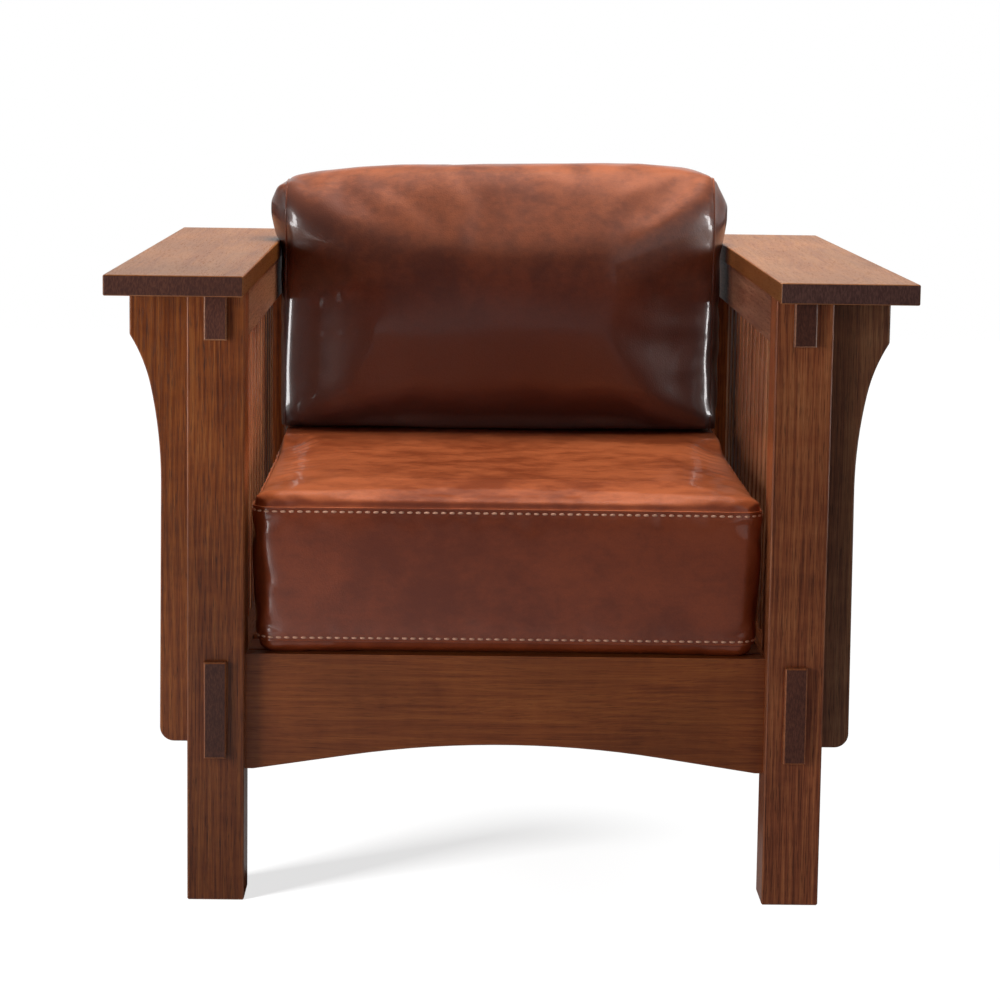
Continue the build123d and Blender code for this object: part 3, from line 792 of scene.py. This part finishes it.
def draw_in_boxing(cover):
    """Pull the upright sides in a little between the corners."""
    points = places(cover)
    middle_y = (SEAT_FRONT + SEAT_REAR) / 2
    half_y = SEAT_REAR - middle_y
    draw_x = SEAT_DRAWN_IN * (1 - ((points[:, 1] - middle_y) / half_y) ** 2)
    draw_y = SEAT_DRAWN_IN * (1 - (points[:, 0] / SEAT_CASE_HALF) ** 2)
    near_side = smooth_step(np.abs(points[:, 0]), SEAT_DRAWN_FROM, SEAT_CASE_HALF)
    points[:, 0] -= np.sign(points[:, 0]) * draw_x * near_side
    near_end = smooth_step(np.abs(points[:, 1] - middle_y), SEAT_DRAWN_FROM, half_y)
    points[:, 1] += np.where(points[:, 1] < middle_y, 1, -1) * draw_y * near_end
    put_places(cover, points)


def crease_seat(cover):
    """Pinch the leather at its seams, ripple the top, pucker the corners and flatten the rear."""
    points, normals = places(cover), normals_of(cover)
    upright = smooth_step(1 - np.abs(normals[:, 2]), 0.10, 0.5)
    pinches = [depth * ridge(points[:, 2] - height, width) for height, depth, width in SEAT_PINCHES]
    points -= normals * (sum(pinches) * upright)[:, None]

    ripples = np.array([
        noise.noise(Vector((x * 2.6, y * 7.0, 3.1)))
        + 0.5 * noise.noise(Vector((x * 6.0, y * 21.0, 8.4)))
        for x, y, _ in points
    ])
    crest = smooth_step(normals[:, 2], 0.2, 0.8)
    points[:, 2] += 0.0010 * ripples * crest

    puckers = np.array([noise.noise(Vector((x * 60.0, y * 60.0, z * 18.0))) for x, y, z in points])
    corner = smooth_step(np.minimum(half_width_gap(points), points[:, 1] - SEAT_FRONT), 0.02, 0.0)
    near_seam = ridge(points[:, 2] - SEAT_UPPER_SEAM, 0.012)
    near_seam += 0.6 * ridge(points[:, 2] - SEAT_LOWER_SEAM, 0.012)
    points += normals * (0.0007 * puckers * near_seam * upright * (0.5 + corner))[:, None]

    under_back = smooth_step(points[:, 1], 0.05, 0.11) * crest
    under_back *= smooth_step(SEAT_REAR - points[:, 1], 0.004, 0.022)
    under_back *= smooth_step(half_width_gap(points), 0.001, 0.011)
    points[:, 2] += (SEAT_CREST - points[:, 2]) * under_back
    points[:, 2] = np.clip(points[:, 2], SEAT_FLOOR, SEAT_CREST)
    points[:, 0] = np.clip(points[:, 0], -SEAT_LIMIT, SEAT_LIMIT)
    put_places(cover, points)


def seat_cushion(skin, sewing):
    """A box cushion: crowned top, upright boxing between two sewn seams, flat underneath."""
    cover, rest = seat_case()
    fill_seat(cover, rest)
    draw_in_boxing(cover)
    apply_modifier(cover, "SUBSURF", levels=1, render_levels=1)
    crease_seat(cover)
    cover_with(cover, skin)
    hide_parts("seat_cushion")
    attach(cover, "chair_frame")
    tree = tree_of(cover)
    seams = ((SEAT_UPPER_SEAM, -STITCH_DROP, "upper"), (SEAT_LOWER_SEAM, STITCH_DROP, "lower"))
    for level, step, label in seams:
        lip = [place for place, _ in seat_ring(tree, level, 0.005)]
        seam = welt(f"seat_seam_{label}", lip, SEAT_LIP, skin)
        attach(seam, "chair_frame")
        row = stitch_row(f"seat_stitches_{label}", seat_ring(tree, level + step, 0.004), sewing)
        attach(row, "chair_frame")


def half_width_gap(points):
    """How far in from the nearer side each point lies."""
    return seat_half_width(points[:, 2]) - np.abs(points[:, 0])


def seat_ring(tree, level, step):
    """Places on the seat cushion round one level."""
    path = []
    half = float(seat_half_width(np.array([level]))[0])
    for point, out in ring_path(half, SEAT_FRONT, SEAT_REAR, SEAT_CORNER, step):
        start = Vector((*(point + out * 0.03), level))
        hit = landed(tree, start, Vector((-out.x, -out.y, 0)))
        if hit:
            path.append(hit)
    return path


# Back cushion

def frame_front(height):
    """How far back the back frame's front lies at a height."""
    return PIVOT_Y + (height - PIVOT_Z) * math.tan(BACK_LEAN) - STILE_FRONT


def case_rear(height):
    """How far back the case reaches before it is filled."""
    return frame_front(height) - 0.001


def seam_gap(points):
    """How far in from the nearer side seam each point lies."""
    left, right = BACK_SEAMS
    return (right - left) / 2 - np.abs(points[:, 0] - (left + right) / 2)


def back_case():
    """The sewn case before it is filled, drawn back at its side seams, its points and how far."""
    left, right = BACK_SEAMS
    low, high = (left, BACK_FRONT, BACK_FLOOR), (right, BACK_REAR, BACK_CASE_TOP)
    cover = start_block("back_cushion_cover", low, high)
    points = places(cover)
    rear = points[:, 1] > BACK_MIDDLE
    points[rear, 1] = case_rear(points[rear, 2])
    put_places(cover, points)
    for is_upper, is_front, radius, segments in BACK_EDGES:

        def wanted(a, b):
            if is_upper:
                level = min(a.z, b.z) > BACK_CASE_TOP - EDGE_PLAY
            else:
                level = max(a.z, b.z) < BACK_FLOOR + EDGE_PLAY
            beside = a.y < BACK_MIDDLE if is_front else a.y > BACK_LEAST_REAR
            return abs(a.x - b.x) > LONG_EDGE and level and beside

        round_edges(cover, wanted, radius, segments)
    apply_modifier(cover, "REMESH", mode="VOXEL", voxel_size=CASE_VOXEL, use_smooth_shade=True)
    rest = places(cover)
    sewn_back = BACK_SEWN_DEPTH * np.exp(-np.maximum(seam_gap(rest), 0) / 0.020)
    rest[:, 1] += sewn_back * (1 - smooth_step(rest[:, 1], BACK_FRONT + 0.004, BACK_FRONT + 0.070))
    put_places(cover, rest)
    return cover, places(cover), sewn_back


def fill_back(cover, rest, sewn_back):
    """Stuff the case: fullest in the middle and at the crown, its sides swelling over the arms."""
    across, along, height = rest.T
    from_rear = case_rear(height) - along
    from_ends = np.minimum.reduce([BACK_CASE_TOP - height, height - BACK_FLOOR, from_rear])
    from_side = seam_gap(rest)
    inward = np.minimum(along - BACK_FRONT, from_ends)
    on_side = from_side < 0.002
    held = (from_side < 0.006) & (np.minimum(along - BACK_FRONT - sewn_back, from_ends) < 0.006)

    plump = 1 - np.exp(-np.maximum(from_side, 0) / 0.030)
    fullest = np.exp(-((height - 0.68) / 0.15) ** 2)
    crown = smooth_step(height, 0.74, 0.79)
    reach = 0.002 + plump * (0.009 + 0.019 * np.maximum(fullest, crown))
    above_arm = smooth_step(height, ARM_TOP - 0.010, ARM_TOP + 0.025)
    below_reach = np.where(across < 0, 0.0075, 0.0110)
    side_reach = (below_reach + above_arm * 0.0140) * smooth_step(inward, 0, 0.045)
    reach = np.where(on_side, side_reach, reach)
    reach = np.where(from_rear < 0.004, 0.0005, reach)
    reach = np.where(height < BACK_FLOOR + 0.004, 0.001, reach)
    stuff(cover, held, reach, pressure=5.0)
    soften(cover, 3)
    smoothed_part(cover, on_side & (inward > 0.008), 10)
    front = (from_side > 0.009) & (from_rear > 0.03) & (height > BACK_FLOOR + 0.01)
    smoothed_part(cover, front, 14)


def meet_back_lines(cover):
    """Move the filled case's outline to the lines that the photograph shows, and onto the seat."""
    points = places(cover)
    meet_top_line(points)
    meet_floor_line(points)
    for seam_line, side_line in zip(BACK_SEAM_LINES, BACK_SIDE_LINES):
        meet_seam_line(points, seam_line)
        meet_side_line(points, seam_line, side_line)
    put_places(cover, points)


def crease_back(cover):
    """Pinch the side seams, fold the front a little and keep clear of frame, arms and seat."""
    points, normals = places(cover), normals_of(cover)
    from_seam = seam_gap(points)
    edge = smooth_step(1 - np.abs(normals[:, 0]), 0.15, 0.6)
    points -= normals * (0.0020 * ridge(from_seam, 0.0045) * edge)[:, None]
    folds = np.array([
        noise.noise(Vector((x * 5.0, z * 2.4, 1.7)))
        + 0.6 * noise.noise(Vector((x * 9.0 + z * 6.0, z * 7.0, 5.2)))
        for x, _, z in points
    ])
    face = smooth_step(-normals[:, 1], 0.2, 0.8) * smooth_step(from_seam, 0.0, 0.05)
    points[:, 1] += 0.0020 * folds * face
    above_arm = smooth_step(points[:, 2], ARM_TOP - 0.004, ARM_TOP + 0.012)
    limit = 0.2910 + above_arm * 0.016
    points[:, 0] = np.sign(points[:, 0]) * np.minimum(np.abs(points[:, 0]), limit)
    points[:, 1] = np.minimum(points[:, 1], frame_front(points[:, 2]) - 0.0005)
    points[:, 2] = np.maximum(points[:, 2], floor_line(points))
    put_places(cover, points)


def back_cushion(skin):
    """A stuffed cushion: plump front, sewn side panels, flat where it leans on the frame."""
    cover, rest, sewn_back = back_case()
    fill_back(cover, rest, sewn_back)
    meet_back_lines(cover)
    apply_modifier(cover, "SUBSURF", levels=1, render_levels=1)
    crease_back(cover)
    cover_with(cover, skin)
    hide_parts("back_cushion")
    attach(cover, "back")
    shrink_with_recline(cover)
    tree = tree_of(cover)
    for label, seam_x in zip(("right", "left"), BACK_SEAMS):
        seam = welt(f"back_seam_{label}", back_seam(tree, seam_x), BACK_LIP, skin)
        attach(seam, "back")
        shrink_with_recline(seam)


def outermost(values, along, low, high, width):
    """The largest value in each bin along a range, smoothed, with the bins' middles."""
    bins = np.arange(low, high + width, width)
    middles = (bins[:-1] + bins[1:]) / 2
    index = np.digitize(along, bins) - 1
    inside = [values[index == number] for number in range(len(middles))]
    found = np.array([some.max() if some.size else np.nan for some in inside])
    known = ~np.isnan(found)
    found = np.interp(middles, middles[known], found[known])
    padded = np.pad(found, 1, mode="edge")
    return middles, np.convolve(padded, (0.25, 0.5, 0.25), mode="valid")


def meet_top_line(points):
    """Bring the cushion's top to the height that it has at each place across."""
    across, heights = np.array(BACK_TOP_LINE).T
    start, end = across[0] + 0.004, across[-1] - 0.004
    middles, crests = outermost(points[:, 2], points[:, 0], start, end, 0.01)
    lift = np.interp(points[:, 0], across, heights) - np.interp(points[:, 0], middles, crests)
    points[:, 2] += lift * smooth_step(points[:, 2], 0.62, 0.79)


def floor_line(points):
    """How low the cushion may hang: on the seat's crown, a little lower at the front corners."""
    corner = smooth_step(np.abs(points[:, 0]), 0.270, 0.286)
    corner *= 1 - smooth_step(points[:, 1], 0.185, 0.205)
    return SEAT_CREST + 0.0003 - 0.0030 * corner


def meet_floor_line(points):
    """Bring the cushion's underside down onto the seat right across."""
    middles, drops = outermost(-points[:, 2], points[:, 0], -0.278, 0.270, 0.008)
    fall = np.interp(points[:, 0], middles, -drops) - floor_line(points)
    points[:, 2] -= fall * (1 - smooth_step(points[:, 2], 0.475, 0.540))


def meet_seam_line(points, line):
    """Bring the front panel's edge to how far out its seam stands at each height."""
    heights, outs = np.array(line).T
    sign = math.copysign(1, outs[0])
    front = points[points[:, 1] < 0.172]
    middles, edges = outermost(sign * front[:, 0], front[:, 2], 0.478, 0.738, 0.01)
    found = np.interp(points[:, 2], middles, edges)
    shift = np.interp(points[:, 2], heights, sign * outs) - found
    further_in = np.maximum(found - sign * points[:, 0], 0)
    points[:, 0] += sign * shift * np.exp(-further_in / 0.045)


def meet_side_line(points, seam_line, side_line):
    """Bring a side panel's bulge to how far out it stands at each height."""
    heights, outs = np.array(side_line).T
    sign = math.copysign(1, outs[0])
    seam = sign * np.interp(points[:, 2], *np.array(seam_line).T)
    beyond = sign * points[:, 0] - seam
    middles, bulges = outermost(beyond, points[:, 2], 0.475, 0.790, 0.01)
    wanted = np.maximum(sign * np.interp(points[:, 2], heights, outs) - seam, 0.001)
    found = np.maximum(np.interp(points[:, 2], middles, bulges), 0.002)
    panel = beyond > 0
    points[panel, 0] = sign * (seam + beyond * wanted / found)[panel]


def back_seam(tree, seam_x):
    """Places round the back cushion where a side panel is sewn in."""
    centre = Vector((seam_x * 0.992, 0.21, 0.63))
    path, count = [], 220
    for number in range(count):
        turn = 2 * math.pi * number / count
        out = Vector((0, math.cos(turn) * 0.62, math.sin(turn))).normalized()
        hit = landed(tree, centre + out * 0.4, -out)
        if hit:
            path.append(hit[0])
    return path


def shrink_with_recline(piece):
    """Give the piece a mesh of its own."""
    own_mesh(piece)


# Studio

WINDOW_PLACE = (-2.12, -1.93, 0.90)
CHAIR_MIDDLE = (0, -0.1, 0.45)
# Each lamp's name, place, aim, size, power in watts and whether polished pieces mirror it. The
# ones that are mirrored pass the back cushion by, which has a dull copy of the window and cards.
LAMPS = (
    ("left_window", WINDOW_PLACE, CHAIR_MIDDLE, (1.2, 1.0), 25.5, True),
    ("overhead", (0.20, 0.45, 2.6), (0, 0.05, 0), (1.8, 1.3), 84, False),
    ("right_strip", (2.4, -0.10, 0.95), (0, 0.0, 0.6), (0.55, 1.7), 8, True),
    ("left_strip", (-2.4, -0.10, 0.95), (0, 0.0, 0.6), (0.30, 1.6), 8, True),
    ("right_fill", (1.9, -2.5, 0.9), (0, -0.1, 0.40), (1.2, 1.2), 7, False),
)
CARDS = (
    ("left_low_card", (-2.5, -0.36, 0.43), (0, 0.1, 0.43), (1.0, 0.42), 22),
    ("left_high_card", (-2.5, -0.68, 1.05), (0, 0.1, 0.8), (0.52, 0.78), 22),
    ("right_low_card", (2.5, -0.30, 0.43), (0, 0.1, 0.43), (0.9, 0.42), 20),
    ("right_high_card", (2.5, -0.66, 1.05), (0, 0.1, 0.8), (0.52, 0.78), 22),
)


def area_light(name, place, aim, size, power, mirrored=True):
    lamp = bpy.data.lights.new(name, "AREA")
    lamp.shape = "RECTANGLE"
    lamp.size, lamp.size_y = size
    lamp.energy = power
    light = bpy.data.objects.new(name, lamp)
    scene.collection.objects.link(light)
    light.location = place
    ahead = Vector(aim) - Vector(place)
    light.rotation_euler = ahead.to_track_quat("-Z", "Y").to_euler()
    light.visible_glossy = mirrored
    return light


def reach_only(light, pieces, lit=True):
    """Let a lamp reach these pieces only, or all but these, as a flag before the lamp does."""
    group = bpy.data.collections.new(f"{light.name}_reach")
    for piece in pieces:
        group.objects.link(piece)
    light.light_linking.receiver_collection = group
    for member in group.collection_objects:
        member.light_linking.link_state = "INCLUDE" if lit else "EXCLUDE"


def white_floor():
    """A pale floor that keeps a soft shadow and goes over into the backdrop."""
    bpy.ops.object.select_all(action="DESELECT")
    bpy.ops.mesh.primitive_grid_add(x_subdivisions=8, y_subdivisions=8, size=14, location=(0, 0, 0))
    floor = bpy.context.object
    floor.name = "studio_floor"
    material, graph = finish_graph("pale_floor")
    place = graph.add("ShaderNodeTexCoord", out="Object")
    away = graph.add("ShaderNodeVectorMath", {"operation": "LENGTH"}, {0: place}, out=1)
    seen = graph.add("ShaderNodeLightPath", out="Is Camera Ray")
    tint = graph.blend(rgb(0.26, 0.26, 0.26), rgb(0.88, 0.88, 0.88), seen)
    matt = graph.add("ShaderNodeBsdfDiffuse", None, {"Color": tint})
    shine = graph.add("ShaderNodeEmission", None, {"Color": rgb(1, 1, 1), "Strength": 1.06})
    across = graph.add("ShaderNodeSeparateXYZ", None, {0: place})
    beside = 1 - across.rise(0.02, 0.32) * 0.85
    behind = 1 - across.other("Y").rise(-0.16, 0.10) * 0.85
    share = 1 - (1 - away.rise(0.7, 1.3)) * beside * behind * 0.30
    lit = graph.add("ShaderNodeMixShader", None, {0: seen * share, 1: matt, 2: shine})
    graph.add("ShaderNodeOutputMaterial", None, {"Surface": lit})
    floor.data.materials.append(material)
    return floor


def backdrop():
    """White behind the chair for the camera and in reflections, dim towards the camera's side."""
    world = bpy.data.worlds.new("studio")
    scene.world = world
    world.use_nodes = True
    graph = Graph(world.node_tree)
    rays = graph.add("ShaderNodeLightPath", out="Is Camera Ray")
    mirrored = rays.other("Is Glossy Ray").math("MAXIMUM", rays.other("Is Transmission Ray"))
    heading = graph.add("ShaderNodeTexCoord", out="Generated")
    parts = graph.add("ShaderNodeSeparateXYZ", None, {0: heading})
    height = parts.other("Z")
    low = (1 - height.rise(0.25, 0.65)) * height.rise(-0.04, 0.02)
    rear = parts.other("Y").rise(-0.05, 0.65) * low
    ahead = (-1 * parts.other("Y")).rise(0.2, 0.8) * parts.rise(0.0, 0.35)
    reflected = rear * 0.50 + height.rise(0.15, 0.85) * 0.16 + ahead * 0.45 + 0.06
    strength = rays + (1 - rays) * (mirrored * reflected + (1 - mirrored) * 0.015)
    sky = graph.add("ShaderNodeBackground", None, {"Color": rgb(1, 1, 1), "Strength": strength})
    graph.add("ShaderNodeOutputWorld", None, {"Surface": sky})


def studio():
    """A window on the left and soft light from above, with cards that only the back mirrors."""
    floor = white_floor()
    back = scene.objects["back_cushion_cover"]
    for name, place, aim, size, power, mirrored in LAMPS:
        lamp = area_light(name, place, aim, size, power, mirrored)
        reach_only(lamp, [floor, back] if mirrored else [floor], lit=False)
    dull = area_light("dull_window", WINDOW_PLACE, CHAIR_MIDDLE, (1.2, 1.0), 15, mirrored=False)
    reach_only(dull, [back])
    for name, place, aim, size, power in CARDS:
        card = area_light(name, place, aim, size, power)
        card.visible_diffuse = False
        reach_only(card, [back])
    lamp = area_light("floor_lamp", WINDOW_PLACE, (0, 0, 0), (0.62, 0.62), 240, mirrored=False)
    reach_only(lamp, [floor])
    backdrop()


def place_camera():
    yaw, pitch, roll = (math.radians(angle) for angle in (CAMERA_YAW, CAMERA_PITCH, CAMERA_ROLL))
    level = math.cos(pitch)
    ahead = Vector((math.sin(yaw) * level, math.cos(yaw) * level, -math.sin(pitch)))
    right = Vector((math.cos(yaw), -math.sin(yaw), 0))
    up = right.cross(ahead)
    tilted = right * math.cos(roll) + up * math.sin(roll)
    raised = up * math.cos(roll) - right * math.sin(roll)
    lens = bpy.data.cameras.new("camera")
    lens.lens, lens.sensor_width = CAMERA_LENS, CAMERA_FILM
    camera = bpy.data.objects.new("camera", lens)
    scene.collection.objects.link(camera)
    turn = Matrix((tilted, raised, -ahead)).transposed()
    camera.matrix_world = Matrix.Translation(CAMERA_PLACE) @ turn.to_4x4()
    scene.camera = camera


scene.view_settings.view_transform = "Standard"
dress_frame()
seat_skin = leather(
    "seat_leather", rgb(0.290, 0.052, 0.013), rgb(0.175, 0.028, 0.007),
    creases=(0.30, 1.0, 1.0), worn=0.40,
)
back_skin = leather(
    "back_leather", rgb(0.262, 0.072, 0.029), rgb(0.130, 0.036, 0.019),
    # painted shade below these heights
    creases=(1.0, 1.0, 0.45), worn=0.20, painted_shade_span=(0.575, 0.70),
)
seat_cushion(seat_skin, thread("waxed_thread"))
back_cushion(back_skin)
studio()
place_camera()

bpy.context.view_layer.update()
